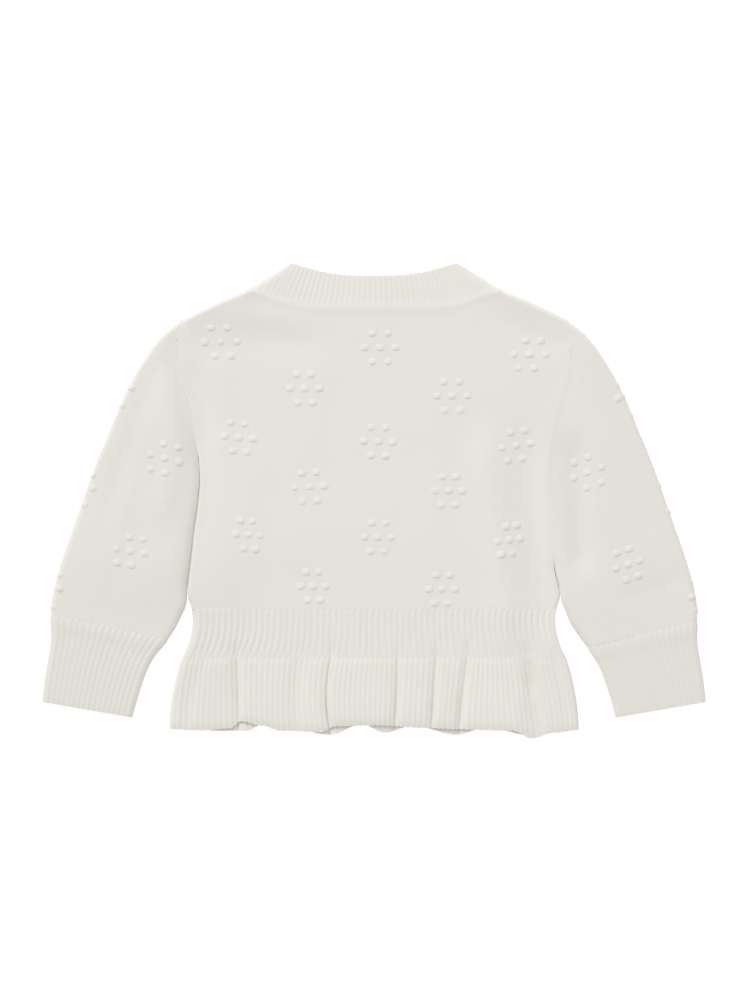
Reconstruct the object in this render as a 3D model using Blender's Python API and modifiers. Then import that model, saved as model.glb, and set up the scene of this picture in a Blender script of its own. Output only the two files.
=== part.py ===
"""A baby's knitted sweater with a gathered ribbed peplum, laid flat with its back up.

+X is the right of the back as it is seen from above, which is the wearer's right, and
+Y runs from the hem to the neck. The cloth lies on z = 0. Every piece is one wall of
cloth: its middle surface is worked out on a grid, in millimetres, and Solidify gives it
its thickness.
"""

import bpy
import numpy as np

METRES_PER_MM = 0.001

# The cloth and how it lies.
CLOTH = 1.8  # thickness of every wall
SEAM_GAP = 0.3  # between two pieces that are sewn together
EDGE_GAP = 0.7  # from the middle of either layer to a sewn edge, whose rims lean in
LOWER = CLOTH / 2  # height of the middle of the layer that lies on the table
EDGE_HEIGHT = 2.7  # height at which both layers meet along a folded edge
UPPER = 2 * EDGE_HEIGHT - LOWER  # height of the middle of the layer on top of it
EDGE_WIDTH = 3.0  # how far in from a folded edge the cloth still rounds over
SLACK = 1.8  # most that the upper layer stands off its resting height
SLACK_FADE = 30.0  # how far from a seam it takes to stand off that much
CREASE = 1.3  # how deep the upper layer sinks along the armhole seam
CREASE_WIDTH = 14.0  # how far from the armhole seam that sinking reaches
NECK_SAG = 1.2  # how far the upper layer sinks where no front lies under it
NECK_SAG_FADE = 16.0  # how far it takes to sink that much
BAND_SAG_START = 8.0  # how far from its fold the neckband begins to sink

# Heights along the garment, from the hem up.
WAIST_TOP = -81.8  # seam of the body and the waist rib
WAIST_BOTTOM = -117.0  # seam of the waist rib and the ruffle
UNDERARM = 30.0  # where the side seam ends and the armhole seam begins
UNDERARM_BLEND = 20.0  # how far up from there the folded edge turns into a seam
ARMHOLE_GAP = 0.5  # sideways between body and sleeve at their slanting seam
NECK_GAP = 0.7  # between the body and the neckband, whose folds lean towards it
UNDERARM_SHARE = 0.3  # share of the armhole seam over which that blends out
UNDERARM_ROOM = 2.0  # how much further apart body and sleeve lie at the underarm

# Half of the body's outline from the waist up, right side: the side seam, then the
# armhole seam from the underarm to the shoulder point.
SIDE_SEAM = (
    # x, y
    (136.0, -81.8),
    (135.8, -74.0),
    (134.6, -58.0),
    (132.4, -36.0),
    (130.2, -10.0),
    (129.0, 12.0),
    (129.4, 30.0),
)
ARMHOLE_SEAM = (
    # x, y
    (129.4, 30.0),
    (133.2, 55.0),
    (142.0, 86.0),
    (146.8, 110.0),
    (143.4, 134.7),
)
SHOULDER = (
    # x, y
    (143.4, 134.7),
    (128.6, 142.2),
    (112.6, 149.6),
    (95.5, 156.8),
)
BACK_NECK_SEAM = (
    # x, y
    (95.5, 156.8),
    (82.0, 153.4),
    (69.0, 148.4),
    (54.0, 145.0),
    (28.0, 144.0),
    (0.0, 143.8),
)
FRONT_NECK_SEAM = (
    # x, y
    (95.5, 156.8),
    (90.6, 147.0),
    (83.0, 133.0),
    (70.0, 118.5),
    (46.0, 106.5),
    (0.0, 101.5),
)
BACK_NECK_EDGE = (
    # x, y
    (61.4, 177.3),
    (50.6, 174.0),
    (38.0, 170.8),
    (22.0, 168.6),
    (0.0, 167.9),
)
FRONT_NECK_EDGE = (
    # x, y
    (61.4, 177.3),
    (59.6, 167.0),
    (54.0, 153.0),
    (43.0, 140.0),
    (25.0, 130.0),
    (0.0, 126.0),
)
WAIST_SIDE = (
    # x, y
    (135.7, -82.1),
    (135.0, -90.0),
    (136.6, -102.0),
    (140.6, -113.0),
    (142.4, -117.0),
)
RUFFLE_SIDE = (
    # x, y
    (142.6, -117.5),
    (145.6, -126.0),
    (148.6, -138.0),
    (150.8, -150.0),
    (152.8, -171.0),
)

# The sleeve, right side. Its inner edge lies along the body's side as far as the gap.
SLEEVE_INNER = (
    # x, y
    (131.9, 30.0),
    (131.8, 12.0),
    (132.8, -10.0),
    (135.2, -36.0),
    (137.6, -58.0),
    (140.4, -73.0),
    (144.2, -84.0),
    (149.4, -95.5),
)
SLEEVE_OUTER = (
    # x, y
    (143.9, 134.7),
    (158.3, 122.5),
    (171.8, 104.5),
    (186.6, 77.5),
    (197.8, 51.0),
    (209.0, 24.0),
    (218.5, -3.0),
    (228.0, -30.0),
    (236.6, -57.0),
    (240.8, -76.0),
)
# The cuff's two edges, from its open end up to just below the cuff seam.
CUFF_INNER = (
    # x, y
    (181.9, -162.8),
    (178.3, -150.0),
    (175.2, -140.0),
    (171.7, -130.0),
    (167.5, -121.0),
)
CUFF_OUTER = (
    # x, y
    (248.0, -151.3),
    (246.2, -136.0),
    (243.6, -120.0),
    (241.5, -106.0),
)
# The two cuffs are pulled straight to different lengths, so each side has its own seam.
CUFFS = (
    # side, name, end of the seam at the inner edge, end of it at the outer edge
    (-1, "left", (154.8, -104.0), (241.6, -85.5)),
    (1, "right", (160.9, -110.3), (241.4, -90.5)),
)
SLEEVE_FULLNESS = 1.6  # how far the middle of a sleeve's upper layer stands up
SLEEVE_WIDTH = 95.0  # about, where it lies flat
CUFF_WIDTH = 72.0

# The folds of the ruffle: where each valley runs, its width, and its depth as a share.
FOLDS = (
    # x at the seam, x halfway, x at the hem, half width, depth
    (-126.0, -136.0, -143.0, 5.0, 0.30),
    (-102.8, -102.0, -101.6, 3.6, 1.00),
    (-55.0, -57.0, -58.0, 6.0, 0.25),
    (-31.8, -35.6, -33.2, 2.8, 0.95),
    (17.6, 17.0, 15.4, 2.8, 0.90),
    (46.9, 44.8, 43.2, 3.0, 1.00),
    (70.4, 66.6, 64.0, 3.4, 1.00),
    (115.0, 118.5, 123.5, 5.0, 0.95),
    (135.0, 140.5, 147.5, 3.4, 0.40),
)
FOLD_CORE = 0.6  # share of a fold's depth that is in its narrow core
FOLD_SKIRT = 2.6  # how many times wider than the core the rest of the fold is
UPPER_CREST = 10.1  # height of the middle of the back ruffle on its lobes
UPPER_VALLEY = 3.1  # and in its valleys
LOWER_CREST = 4.6  # the front ruffle's lobes stand up inside the back's
SEAM_FLAT = 1.1  # how far below the waist seam the ruffle begins to rise
LOBE_RISE = 6.0  # and how far below that its lobes reach their full height
LOBE_EDGE = 8.0  # how far in from the side edges the outermost lobes round over
FOLD_SINK = 1.2  # how far the waist rib sinks above a fold
FOLD_REACH = 12.0  # and how far up from the seam
BACK_HEM = (
    # x, y
    (-153.0, -171.5),
    (-130.0, -172.5),
    (-108.0, -171.0),
    (-99.0, -165.6),
    (-84.0, -168.8),
    (-70.0, -172.6),
    (-40.0, -173.6),
    (-28.0, -169.2),
    (0.0, -168.6),
    (40.0, -170.6),
    (61.0, -171.6),
    (104.0, -172.6),
    (118.0, -178.4),
    (135.0, -174.2),
    (153.0, -172.2),
)
FRONT_HEM = (
    # x, y
    (-153.0, -170.5),
    (-112.0, -173.0),
    (-95.0, -172.8),
    (-84.0, -168.0),
    (-60.0, -171.5),
    (-33.0, -175.8),
    (-9.0, -167.8),
    (8.0, -174.2),
    (29.0, -169.0),
    (62.0, -175.8),
    (84.0, -170.0),
    (116.0, -176.0),
    (153.0, -171.0),
)

# How finely the grids are divided.
SHOULDER_COLUMNS = 3
WAIST_COLUMNS = 12
SLEEVE_COLUMNS = 5
SLEEVE_ROWS = 10
CUFF_ROWS = 4
BAND_ROWS = 4
WAIST_ROWS = 4
BACK_ROWS = 5
FRONT_ROWS = 2
BAND_COLUMNS = 15
BACK_RUFFLE_ROWS = (0.0, 0.02, 0.06, 0.12, 0.28, 0.6, 1.0)  # shares of its length
FRONT_RUFFLE_ROWS = (0.0, 0.02, 0.12, 0.5, 1.0)
DEEP = 0.5  # a fold deeper than this has its own columns
MM_PER_LOBE_STEP = 6.0
LEAST_LOBE_STEPS = 6

IVORY = (0.775, 0.760, 0.709, 1.0)  # the photo's (228, 226, 219) in linear light
IVORY_RIB = (0.760, 0.745, 0.694, 1.0)
KNIT_ROUGHNESS = 0.9


def smooth(share):
    """0 below 0, 1 above 1, and a soft S between."""
    share = np.clip(share, 0.0, 1.0)
    return share * share * (3.0 - 2.0 * share)


def length(table):
    """The length of a table's curve, as the sum of its straight steps."""
    return np.linalg.norm(np.diff(np.array(table, float), axis=0), axis=1).sum()


def along(table, share):
    """The smooth curve through a table's points, at shares 0 to 1 of its length."""
    points = np.array(table, float)
    steps = np.linalg.norm(np.diff(points, axis=0), axis=1)
    at = np.concatenate(([0.0], np.cumsum(steps))) / steps.sum()
    slopes = np.gradient(points, at, axis=0)
    share = np.clip(np.asarray(share, float), 0.0, 1.0)
    k = np.clip(np.searchsorted(at, share, side="right") - 1, 0, len(at) - 2)
    span = (at[k + 1] - at[k])[..., None]
    t = (share - at[k])[..., None] / span
    return (
        (2 * t**3 - 3 * t**2 + 1) * points[k]
        + (t**3 - 2 * t**2 + t) * slopes[k] * span
        + (3 * t**2 - 2 * t**3) * points[k + 1]
        + (t**3 - t**2) * slopes[k + 1] * span
    )


def along_x(table, x):
    """The smooth curve through a table whose first column rises, at given x."""
    points = np.array(table, float)
    share = np.interp(x, points[:, 0], np.linspace(0.0, 1.0, len(points)))
    k = np.clip((share * (len(points) - 1)).astype(int), 0, len(points) - 2)
    t = smooth(share * (len(points) - 1) - k)
    return points[k, 1] * (1 - t) + points[k + 1, 1] * t


def joined(tables, share):
    """Several curves end to end, each smooth in itself, at shares of their whole length."""
    share = np.clip(np.asarray(share, float), 0.0, 1.0)
    lengths = np.array([length(table) for table in tables])
    ends = np.concatenate(([0.0], np.cumsum(lengths))) / lengths.sum()
    found = np.zeros(share.shape + (2,))
    for table, low, high in zip(tables, ends[:-1], ends[1:], strict=True):
        inside = (share >= low) & (share <= high)
        found[inside] = along(table, (share[inside] - low) / (high - low))
    return found


def flipped(table):
    """The same curve on the left of the middle line."""
    return tuple((-x, y) for x, y in table)


def whole(table):
    """A curve from its left end to its right end, from the table of its right half."""
    return flipped(table) + tuple(reversed(table))[1:]


def patch(bottom, top, left, right, s, v):
    """The plan of a piece between its four edges, as a Coons patch: s across, v up."""
    a, b = np.meshgrid(s, v)
    a, b = a[..., None], b[..., None]
    corners = (
        (1 - a) * (1 - b) * bottom(np.zeros(1))
        + a * (1 - b) * bottom(np.ones(1))
        + (1 - a) * b * top(np.zeros(1))
        + a * b * top(np.ones(1))
    )
    ruled_up = (1 - b) * bottom(s)[None] + b * top(s)[None]
    ruled_across = (1 - a) * left(v)[:, None] + a * right(v)[:, None]
    return ruled_up + ruled_across - corners


def edge_steps(width):
    """Shares of a width that divide the rounding of a folded edge evenly."""
    turns = np.radians([0.0, 30.0, 60.0, 90.0])
    return EDGE_WIDTH * (1.0 - np.cos(turns)) / width


def across_steps(width, middle):
    """Shares across a piece: fine at both folded edges, even between them."""
    edge = edge_steps(width)
    between = np.linspace(edge[-1], 1.0 - edge[-1], middle + 1)[1:-1]
    return np.concatenate((edge, between, (1.0 - edge)[::-1]))


def band_steps():
    """Shares along half of the neckband, finer towards the folds at its two ends."""
    return 0.5 - 0.5 * np.cos(np.linspace(0.0, np.pi, BAND_COLUMNS))


def rounding(distance, width=EDGE_WIDTH):
    """0 on a folded edge, rising on a quarter ellipse to 1 at its width."""
    inwards = np.clip(distance / width, 0.0, 1.0)
    return np.sqrt(1.0 - (1.0 - inwards) ** 2)


def trough(distance, width):
    """1 at a seam, falling softly to 0 at its width."""
    return 0.5 + 0.5 * np.cos(np.pi * np.clip(distance / width, 0.0, 1.0))


def from_edge(plan, row=slice(None), column=slice(None)):
    """How far each point of a plan lies from one of its edge rows or columns."""
    return np.linalg.norm(plan - plan[row, column], axis=-1)


def raised(full, height, gap=EDGE_GAP):
    """The upper layer: at the folded edge where full is 0, at its height where it is 1."""
    return EDGE_HEIGHT + gap + (height - EDGE_HEIGHT - gap) * full


def lowered(full, height=LOWER, gap=EDGE_GAP):
    """The lower layer, the other way up."""
    return EDGE_HEIGHT - gap + (height - EDGE_HEIGHT + gap) * full


def surface(plan, height):
    """Plan and height together, as points in millimetres."""
    return np.concatenate((plan, height[..., None]), axis=-1)


def make_wall(name, points, colour, collection):
    """One piece of cloth, from the grid of points on its middle surface."""
    rows, columns = points.shape[:2]
    number = np.arange(rows * columns).reshape(rows, columns)
    corners = (number[:-1, :-1], number[:-1, 1:], number[1:, 1:], number[1:, :-1])
    faces = np.stack(corners, axis=-1).reshape(-1, 4)
    mesh = bpy.data.meshes.new(name)
    places = points.reshape(-1, 3) * METRES_PER_MM
    mesh.from_pydata(places.tolist(), [], faces.tolist())
    mesh.shade_smooth()
    material = bpy.data.materials.new(name + "_knit")
    material.use_nodes = True
    shader = material.node_tree.nodes["Principled BSDF"]
    shader.inputs["Base Color"].default_value = colour
    shader.inputs["Roughness"].default_value = KNIT_ROUGHNESS
    shader.inputs["Metallic"].default_value = 0.0
    mesh.materials.append(material)
    piece = bpy.data.objects.new(name, mesh)
    collection.objects.link(piece)
    wall = piece.modifiers.new("cloth", "SOLIDIFY")
    wall.thickness = CLOTH * METRES_PER_MM
    wall.offset = 0.0


def from_folded_top(plan):
    """How far points lie from the line on which the shoulder and the neckband fold."""
    fold = np.concatenate((along(SHOULDER, np.linspace(0, 1, 25)), BACK_NECK_EDGE[:1]))
    start, step = fold[:-1], np.diff(fold, axis=0)
    offset = np.abs(plan) * (1, 0) + plan * (0, 1)
    offset = offset[..., None, :] - start
    share = (offset * step).sum(axis=-1) / (step**2).sum(axis=-1)
    nearest = np.clip(share, 0.0, 1.0)[..., None] * step
    return np.linalg.norm(offset - nearest, axis=-1).min(axis=-1)


def body_plan(neck_seam, side_rows):
    """A body panel from the waist seam to the shoulders, with a neck seam between them.

    Its columns meet the neckband's at the neck seam, and its rows the sleeve's columns at
    the armhole seam, so that the pieces keep their gap.
    """
    waist, side = SIDE_SEAM[0], (SIDE_SEAM, ARMHOLE_SEAM)
    top = (flipped(SHOULDER), whole(neck_seam), tuple(reversed(SHOULDER)))
    shoulder = length(SHOULDER) / sum(length(table) for table in top)
    on_shoulder = np.linspace(0.0, shoulder, SHOULDER_COLUMNS + 1)[1:-1]
    edge = edge_steps(2 * waist[0])
    left = np.concatenate((edge, on_shoulder[on_shoulder > edge[-1]]))
    neck = shoulder + (1 - 2 * shoulder) * band_steps()
    below = length(SIDE_SEAM) / (length(SIDE_SEAM) + length(ARMHOLE_SEAM))
    on_armhole = below + (1 - below) * across_steps(SLEEVE_WIDTH, SLEEVE_COLUMNS)
    return patch(
        lambda share: along(((-waist[0], waist[1]), waist), share),
        lambda share: joined(top, share),
        lambda share: joined(side, share) * (-1, 1),
        lambda share: joined(side, share),
        np.concatenate((left, neck, 1 - left[::-1])),
        np.concatenate((np.linspace(0.0, below, side_rows + 1)[:-1], on_armhole)),
    )


def body_fullness(plan):
    """How much a body panel is free of its rounded edges, and how near the armhole seam."""
    beside = np.minimum(
        from_edge(plan, column=slice(0, 1)), from_edge(plan, column=slice(-1, None))
    )
    below = from_folded_top(plan)
    on_side = 1.0 - smooth((plan[..., 1] - UNDERARM) / UNDERARM_BLEND)
    full = (1.0 - on_side * (1.0 - rounding(beside))) * rounding(below)
    seam = (1.0 - on_side) * trough(beside, CREASE_WIDTH) * smooth(below / CREASE_WIDTH)
    return full, seam


def back_panel():
    """The back: it lies on the front and sinks at the armhole seams and behind the neck."""
    plan = body_plan(BACK_NECK_SEAM, BACK_ROWS)
    full, seam = body_fullness(plan)
    x, y = plan[..., 0], plan[..., 1]
    crown = (
        (1.0 - np.abs(x / SIDE_SEAM[0][0]) ** 4).clip(0.0, 1.0)
        * smooth((y - WAIST_TOP) / SLACK_FADE)
        * smooth((BACK_NECK_SEAM[-1][1] - y) / SLACK_FADE)
    )
    open_neck = smooth((y - FRONT_NECK_EDGE[-1][1]) / NECK_SAG_FADE) * (
        1.0 - smooth((np.abs(x) - FRONT_NECK_EDGE[0][0] + NECK_SAG_FADE) / NECK_SAG_FADE)
    )
    height = UPPER + SLACK * crown - CREASE * seam - NECK_SAG * open_neck
    return surface(plan, raised(full, height))


def front_panel():
    """The front: flat on the table, with a neckline that is cut lower."""
    plan = body_plan(FRONT_NECK_SEAM, FRONT_ROWS)
    full, _ = body_fullness(plan)
    return surface(plan, lowered(full))


def strip_plan(side, top_ends, bottom, across, rows):
    """A strip between two mirrored sides, from a straight top seam down to its hem."""
    top_left, top_right = top_ends
    return patch(
        bottom,
        lambda share: along((top_left, top_right), share),
        lambda share: along(tuple(reversed(flipped(side))), share),
        lambda share: along(tuple(reversed(side)), share),
        across,
        rows,
    )


def waist_plan():
    """The waist rib, which widens downwards to the seam of the ruffle."""
    (top, top_y), (low, low_y) = WAIST_SIDE[0], WAIST_SIDE[-1]
    return strip_plan(
        WAIST_SIDE,
        ((-top, top_y), (top, top_y)),
        lambda share: along(((-low, low_y), (low, low_y)), share),
        across_steps(2 * top, WAIST_COLUMNS),
        np.linspace(0.0, 1.0, WAIST_ROWS),
    )


def fold_share(x, down):
    """1 on a lobe and less in a fold's valley; down is 0 at the seam and 1 at the hem."""
    share = np.ones_like(x)
    for seam, halfway, hem, half_width, depth in FOLDS:
        off = (x - through(seam, halfway, hem, down)) / half_width
        core, skirt = np.exp(-(off**2)), np.exp(-((off / FOLD_SKIRT) ** 2))
        notch = FOLD_CORE * core + (1.0 - FOLD_CORE) * skirt
        share = share * (1.0 - depth * notch)
    return share


def waist_rib(upper):
    """One side of the waist rib; the back one sinks a little above each fold."""
    plan = waist_plan()
    full = rounding(from_edge(plan, column=slice(0, 1))) * rounding(
        from_edge(plan, column=slice(-1, None))
    )
    if not upper:
        return surface(plan, lowered(full))
    x, y = plan[..., 0], plan[..., 1]
    near_seam = smooth((WAIST_BOTTOM + FOLD_REACH - y) / FOLD_REACH)
    sunk = FOLD_SINK * near_seam * (1.0 - fold_share(x, 0.0 * x))
    return surface(plan, raised(full, UPPER - sunk))


def valleys(table_column, half):
    """Where the deep valleys run, between the two sides of the ruffle."""
    return [-half] + [row[table_column] for row in FOLDS if row[4] > DEEP] + [half]


def ruffle_across(table_column, half):
    """Shares across the ruffle, closer together near each deep valley than on a lobe."""
    sizes = np.diff(valleys(1, RUFFLE_SIDE[2][0])) / MM_PER_LOBE_STEP
    ends = valleys(table_column, half)
    shares = [np.zeros(1)]
    for left, right, size in zip(ends[:-1], ends[1:], sizes, strict=True):
        turn = np.linspace(0.0, np.pi, max(LEAST_LOBE_STEPS, round(size)) + 1)[1:]
        place = left + (right - left) * (0.5 - 0.5 * np.cos(turn))
        shares.append((place + half) / (2 * half))
    shares = np.concatenate(shares)
    first = edge_steps(2 * half)[1:2]
    return np.concatenate((shares[:1], first, shares[1:-1], 1 - first, shares[-1:]))


def through(seam, halfway, hem, down):
    """What runs through three values, at the seam, halfway down and at the hem."""
    return (
        seam * (1 - down) * (1 - 2 * down)
        + halfway * 4 * down * (1 - down)
        + hem * down * (2 * down - 1)
    )


def ruffle(upper):
    """One side of the ruffle: lobes between narrow valleys, from the seam to a wavy hem."""
    down = np.array(BACK_RUFFLE_ROWS if upper else FRONT_RUFFLE_ROWS)[::-1, None]
    seam_half, seam_y = RUFFLE_SIDE[0]
    hem_table = BACK_HEM if upper else FRONT_HEM
    placed = through(
        ruffle_across(0, seam_half),
        ruffle_across(1, RUFFLE_SIDE[2][0]),
        ruffle_across(2, RUFFLE_SIDE[-1][0]),
        down,
    )
    x = along(RUFFLE_SIDE, down[:, 0])[:, :1] * (2 * placed - 1)
    hem = along_x(hem_table, x)
    y = seam_y + (hem - seam_y) * down
    plan = np.stack((x, y), axis=-1)
    lobe = fold_share(x, down)
    grown = smooth((seam_y - SEAM_FLAT - y) / LOBE_RISE)
    beside = np.minimum(
        from_edge(plan, column=slice(0, 1)), from_edge(plan, column=slice(-1, None))
    )
    if upper:
        start = UPPER - FOLD_SINK * (1.0 - lobe)
        stand = UPPER_VALLEY + (UPPER_CREST - UPPER_VALLEY) * lobe
        height = start + (stand - start) * grown
        stands = (height - EDGE_HEIGHT) / (UPPER - EDGE_HEIGHT)
        edge = np.clip(EDGE_WIDTH * stands, EDGE_WIDTH, LOBE_EDGE)
        return surface(plan, raised(rounding(beside, edge), height))
    flat_side = smooth((beside - EDGE_WIDTH) / LOBE_EDGE)
    height = LOWER + (LOWER_CREST - LOWER) * lobe * grown * flat_side
    return surface(plan, lowered(rounding(beside), height))


def around(upper, lower):
    """Two layers that share their outer edge, as one grid that folds round it."""
    return np.concatenate((upper, lower[:, -2::-1]), axis=1)


def tube(plan, height):
    """A folded tube of cloth: its seam is on the inner edge, its fold on the outer."""
    inner = from_edge(plan, column=slice(0, 1))
    outer = from_edge(plan, column=slice(-1, None))
    full = rounding(inner) * rounding(outer)
    gap = EDGE_GAP * (1.0 - inner / (inner + outer))
    upper = surface(plan, raised(full, height, gap))
    return around(upper, surface(plan, lowered(full, LOWER, gap)))


def cap_seam(share):
    """The sleeve's side of the armhole seam, which stands off more at the underarm."""
    away = ARMHOLE_GAP + UNDERARM_ROOM * (1.0 - smooth(share / UNDERARM_SHARE))
    return along(ARMHOLE_SEAM, share) + away[..., None] * (1.0, 0.0)


def sleeve(side, cuff_inner, cuff_outer):
    """A sleeve from its cuff seam up to the armhole seam."""
    inner = (cuff_inner,) + tuple(reversed(SLEEVE_INNER))
    outer = (cuff_outer,) + tuple(reversed(SLEEVE_OUTER))
    plan = patch(
        lambda share: along((cuff_inner, cuff_outer), share),
        cap_seam,
        lambda share: along(inner, share),
        lambda share: along(outer, share),
        across_steps(SLEEVE_WIDTH, SLEEVE_COLUMNS),
        np.linspace(0.0, 1.0, SLEEVE_ROWS),
    )
    share_in = from_edge(plan, column=slice(0, 1))
    share_out = from_edge(plan, column=slice(-1, None))
    middle = 4 * share_in * share_out / (share_in + share_out) ** 2
    cap_distance = from_edge(plan, row=slice(-1, None))
    cuff_distance = from_edge(plan, row=slice(0, 1))
    away = smooth(cap_distance / SLACK_FADE) * smooth(cuff_distance / SLACK_FADE)
    height = (
        UPPER + SLEEVE_FULLNESS * middle * away - CREASE * trough(cap_distance, CREASE_WIDTH)
    )
    return tube(plan, height) * (side, 1, 1)


def cuff(side, seam_inner, seam_outer):
    """A ribbed cuff from its open end up to the cuff seam."""
    down = np.array((0.0, -SEAM_GAP))
    inner = CUFF_INNER + (tuple(seam_inner + down),)
    outer = CUFF_OUTER + (tuple(seam_outer + down),)
    plan = patch(
        lambda share: along((inner[0], outer[0]), share),
        lambda share: along((inner[-1], outer[-1]), share),
        lambda share: along(inner, share),
        lambda share: along(outer, share),
        across_steps(CUFF_WIDTH, SLEEVE_COLUMNS),
        np.linspace(0.0, 1.0, CUFF_ROWS),
    )
    return tube(plan, UPPER + 0.0 * plan[..., 0]) * (side, 1, 1)


def moved_up(points, distance):
    """A line of points that runs to the right, moved square to itself to its left."""
    ahead = np.gradient(points, axis=0)
    ahead /= np.linalg.norm(ahead, axis=-1, keepdims=True)
    return points + distance * np.stack((-ahead[:, 1], ahead[:, 0]), axis=-1)


def band_plan(seam, edge, across, rows):
    """One half of the neckband, between its seam and the edge of the neck."""
    low = moved_up(along(whole(seam), across), NECK_GAP)
    fold = np.array((seam[0], edge[0]))
    fold_end = fold[0] + NECK_GAP * (fold[1] - fold[0]) / length(fold)
    low[0], low[-1] = fold_end * (-1, 1), fold_end
    high = along(whole(edge), across)
    up = rows[:, None, None]
    return low * (1 - up) + high * up


def neckband():
    """The neckband: across the back, round the neck point, and back under the front."""
    turns, rows = band_steps(), np.linspace(0.0, 1.0, BAND_ROWS)
    behind = band_plan(BACK_NECK_SEAM, BACK_NECK_EDGE, turns, rows)
    before = band_plan(FRONT_NECK_SEAM, FRONT_NECK_EDGE, turns, rows)
    gap = EDGE_GAP * (1 - turns)[None] * np.ones((len(rows), 1))
    behind_fold, before_fold = from_folded_top(behind), from_folded_top(before)
    sag = NECK_SAG * smooth((behind_fold - BAND_SAG_START) / NECK_SAG_FADE)
    upper = surface(behind, raised(rounding(behind_fold), UPPER - sag, gap))
    lower = surface(before, lowered(rounding(before_fold), LOWER, gap))
    return around(upper, lower)


def main():
    for old in list(bpy.data.objects):
        bpy.data.objects.remove(old, do_unlink=True)
    sweater = bpy.data.collections.new("baby_sweater")
    bpy.context.scene.collection.children.link(sweater)
    make_wall("back_panel", back_panel(), IVORY, sweater)
    make_wall("front_panel", front_panel(), IVORY, sweater)
    make_wall("neckband", neckband(), IVORY_RIB, sweater)
    for layer, upper in (("back", True), ("front", False)):
        make_wall("waist_rib_" + layer, waist_rib(upper), IVORY_RIB, sweater)
        make_wall("ruffle_" + layer, ruffle(upper), IVORY_RIB, sweater)
    for side, name, inner_end, outer_end in CUFFS:
        make_wall("sleeve_" + name, sleeve(side, inner_end, outer_end), IVORY, sweater)
        make_wall("cuff_" + name, cuff(side, inner_end, outer_end), IVORY_RIB, sweater)


main()
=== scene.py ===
# A baby's knitted sweater laid flat with its back up. Body and sleeves are plain knit with
# bobbles in sevens; neckband, waist, ruffle and cuffs are ribbed.
# The frame's axes hold: +X to the right, +Y from the hem to the neck, +Z up. Lengths are
# in millimetres here, and addPiece puts them into metres; the stage is in metres.

import bpy
import numpy as np
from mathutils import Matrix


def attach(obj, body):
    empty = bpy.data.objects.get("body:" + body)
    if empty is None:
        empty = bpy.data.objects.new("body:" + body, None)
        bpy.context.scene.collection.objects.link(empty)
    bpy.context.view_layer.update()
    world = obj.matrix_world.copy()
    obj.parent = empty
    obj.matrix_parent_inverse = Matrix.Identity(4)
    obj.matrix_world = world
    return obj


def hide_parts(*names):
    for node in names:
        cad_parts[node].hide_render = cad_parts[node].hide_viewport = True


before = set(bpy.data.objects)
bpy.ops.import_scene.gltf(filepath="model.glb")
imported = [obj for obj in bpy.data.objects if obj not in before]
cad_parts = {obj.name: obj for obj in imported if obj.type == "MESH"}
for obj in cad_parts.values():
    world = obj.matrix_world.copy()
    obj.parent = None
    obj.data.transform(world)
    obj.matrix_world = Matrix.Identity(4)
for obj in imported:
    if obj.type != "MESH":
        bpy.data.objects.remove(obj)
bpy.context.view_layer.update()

mm = 0.001
lowerHeight = 0.9  # middle of the layer that lies on the table
foldHeight = 2.7  # where both layers meet along a folded edge
upperHeight = 4.5  # middle of the layer on top
foldGap = 0.05  # from foldHeight to each middle, where the layers are two pieces
lowestMiddle = 0.55  # no middle lies lower, so that no rib goes under the table
waistSeamY = -81.8
lap = 0.4  # how far sewn pieces run under each other at a seam
cloth = {
    "plain": 1.5,  # thickness
    "rib": 1.3,
    "wale": 1.45,  # width of a stitch, and height
    "course": 1.15,
    "walesInRib": 3,
    "rimRadius": 0.8,
}


# ---- curves and grids ----


def smooth(t):
    # 0 below 0, 1 above 1 and an S of 3t^2 - 2t^3 between
    t = np.clip(t, 0.0, 1.0)
    return t * t * (3.0 - 2.0 * t)


def rounded(distance, width):
    # a quarter ellipse: 0 on a folded edge, 1 from its width inwards
    inwards = np.clip(distance / width, 0.0, 1.0)
    return np.sqrt(1.0 - (1.0 - inwards) ** 2)


def bell(offset, width):
    # exp(-(offset / width)^2)
    return np.exp(-((offset / width) ** 2))


def fromFold(height, full, gap=0.0):
    # from the height of a folded edge, less or more the gap, to a height, as full goes to 1
    return foldHeight + gap + (height - foldHeight - gap) * full


def stepAt(turn):
    # the step of length 1 in a direction in degrees
    return np.array((np.cos(np.radians(turn)), np.sin(np.radians(turn))))


def runOf(points):
    # the length run along a line, or up each column of a grid, from 0
    steps = np.linalg.norm(np.diff(points, axis=0), axis=-1)
    return np.concatenate((0 * steps[:1], np.cumsum(steps, axis=0)))


def curveAt(table, share):
    # a cubic through the table's rows, whose slope at a row is that of its neighbours
    points = np.array(table, float)
    at = runOf(points) / runOf(points)[-1]
    slopes = np.gradient(points, at, axis=0)
    share = np.clip(np.asarray(share, float), 0.0, 1.0)
    k = np.clip(np.searchsorted(at, share, side="right") - 1, 0, len(at) - 2)
    span = (at[k + 1] - at[k])[..., None]
    t = (share - at[k])[..., None] / span
    return (
        (2 * t**3 - 3 * t**2 + 1) * points[k]
        + (t**3 - 2 * t**2 + t) * slopes[k] * span
        + (3 * t**2 - 2 * t**3) * points[k + 1]
        + (t**3 - t**2) * slopes[k + 1] * span
    )


def along(table, offset=(0, 0)):
    # the same curve as a function of the share of its length
    return lambda share: curveAt(table, share) + offset


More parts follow.
